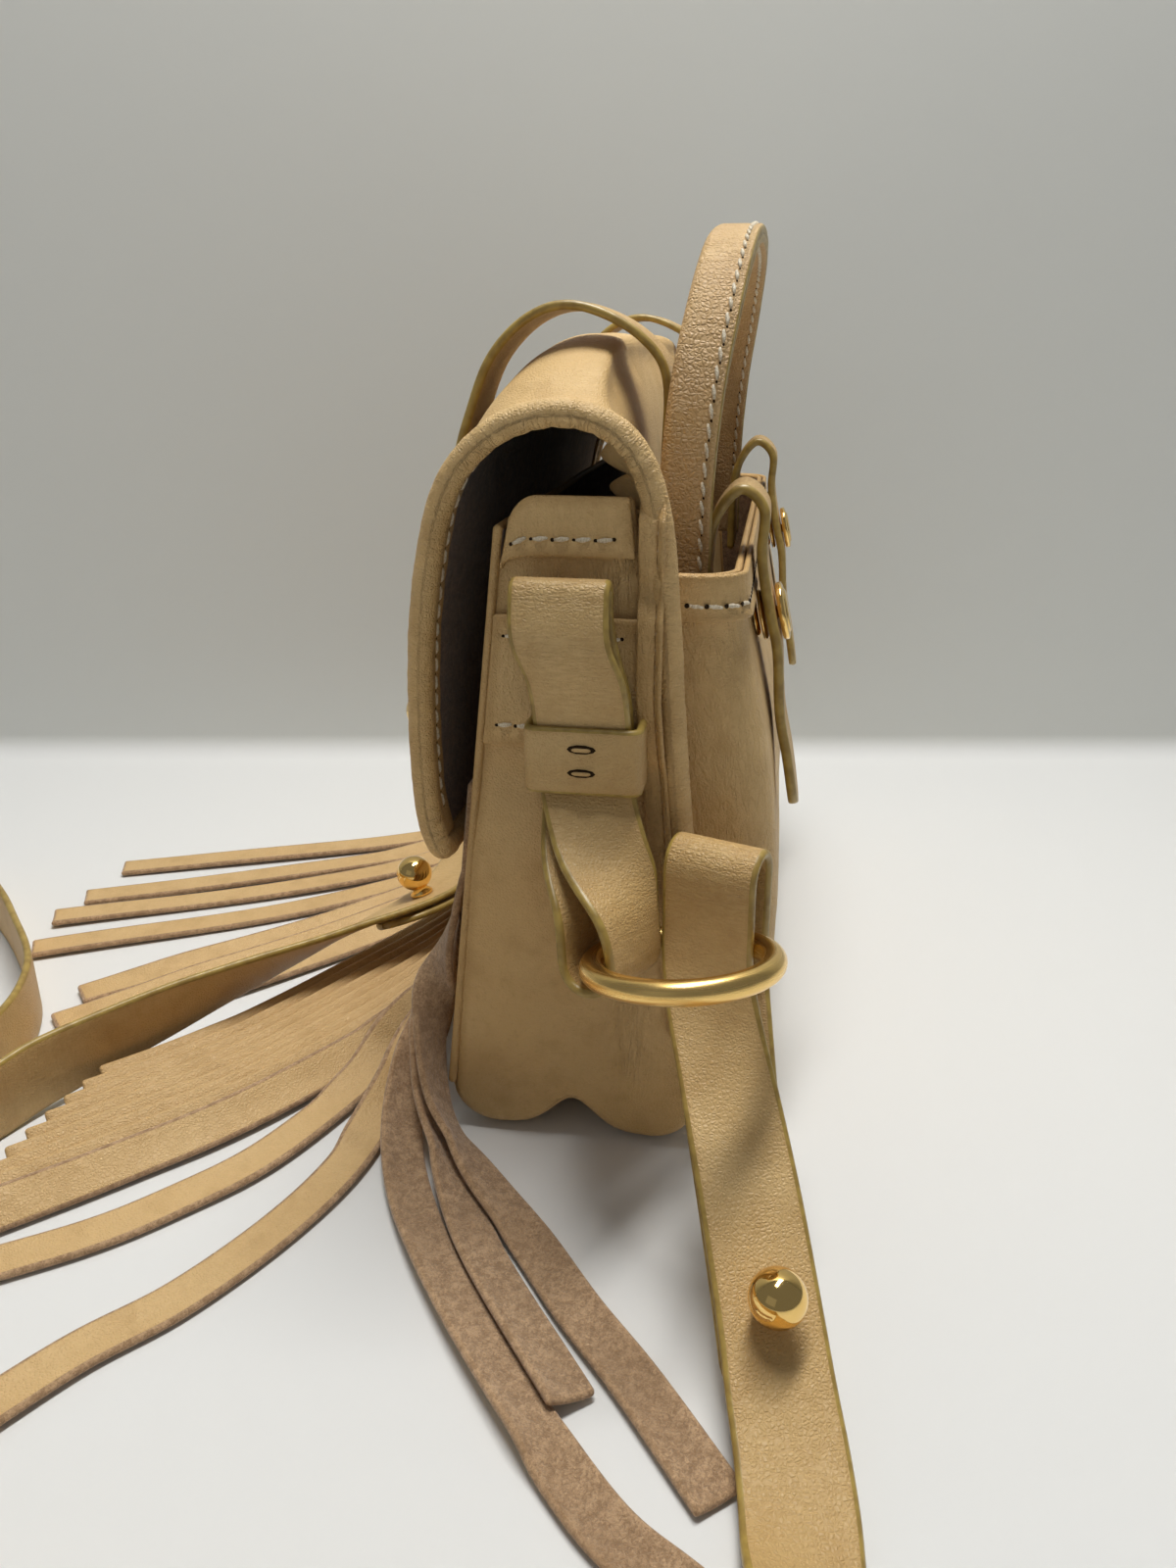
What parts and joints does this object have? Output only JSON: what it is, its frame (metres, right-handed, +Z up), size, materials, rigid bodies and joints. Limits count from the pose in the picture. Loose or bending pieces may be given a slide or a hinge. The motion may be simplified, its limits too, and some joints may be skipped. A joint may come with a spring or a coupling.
{
  "type": "fringe saddle bag",
  "caption": "Small tan leather saddle bag with a rolled-edge flap, a long cut fringe, a back pocket with snap tabs, a top handle and a ringed cross-body strap.",
  "frame": {"origin": "middle of the base, on the surface that the bag stands on", "axes": "+X along the bag's length, -Y towards the flap and the fringe, +Y towards the back pocket, +Z up"},
  "size_m": [0.3844, 0.3366, 0.2148],
  "materials": {
    "tan_leather": "smooth calf leather with a fine grain and soft wrinkles",
    "painted_edge_leather": "smooth leather strap with painted edges",
    "fringe_leather": "smooth on the grain side, fibrous suede on the flesh side",
    "gold_metal": "polished and brushed gold-coloured metal"
  },
  "bodies": {
    "bag": {"back_flap_panel": "tan_leather", "flap_edge_roll": "tan_leather", "front_panel": "tan_leather", "gusset": "tan_leather", "gusset_hem_right": "tan_leather", "gusset_hem_left": "tan_leather", "side_band_right": "tan_leather", "side_band_left": "tan_leather", "ring_tab_right": "tan_leather", "ring_tab_left": "tan_leather", "tab_keeper_right": "tan_leather", "tab_keeper_left": "tan_leather", "back_pocket": "tan_leather", "pocket_hem": "tan_leather", "top_handle": "painted_edge_leather", "flap_belt_right": "painted_edge_leather", "flap_belt_left": "painted_edge_leather", "back_tab_right": "painted_edge_leather", "back_tab_left": "painted_edge_leather", "shoulder_strap": "painted_edge_leather", "fringe": "fringe_leather", "belt_stud_right": "gold_metal", "belt_stud_left": "gold_metal", "strap_stud_right": "gold_metal", "strap_stud_left": "gold_metal", "strap_stud_screw_right": "gold_metal", "strap_stud_screw_left": "gold_metal", "snap_cap_right": "gold_metal", "snap_cap_left": "gold_metal", "snap_socket_right": "gold_metal", "snap_socket_left": "gold_metal", "snap_stud_right": "gold_metal", "snap_stud_left": "gold_metal"},
    "ring_right": {"ring_right": "gold_metal"},
    "ring_left": {"ring_left": "gold_metal"}
  },
  "joints": [
    {"name": "ring_right_turn", "type": "hinge", "parent": "bag", "child": "ring_right", "pos_m": [0.13502, 0.02835, 0.06998], "axis": [-0.2069, -0.0995, 0.9733], "continuous": true},
    {"name": "ring_left_turn", "type": "hinge", "parent": "bag", "child": "ring_left", "pos_m": [-0.115, -0.004, 0.0484], "axis": [1, 0, 0], "continuous": true}
  ]
}
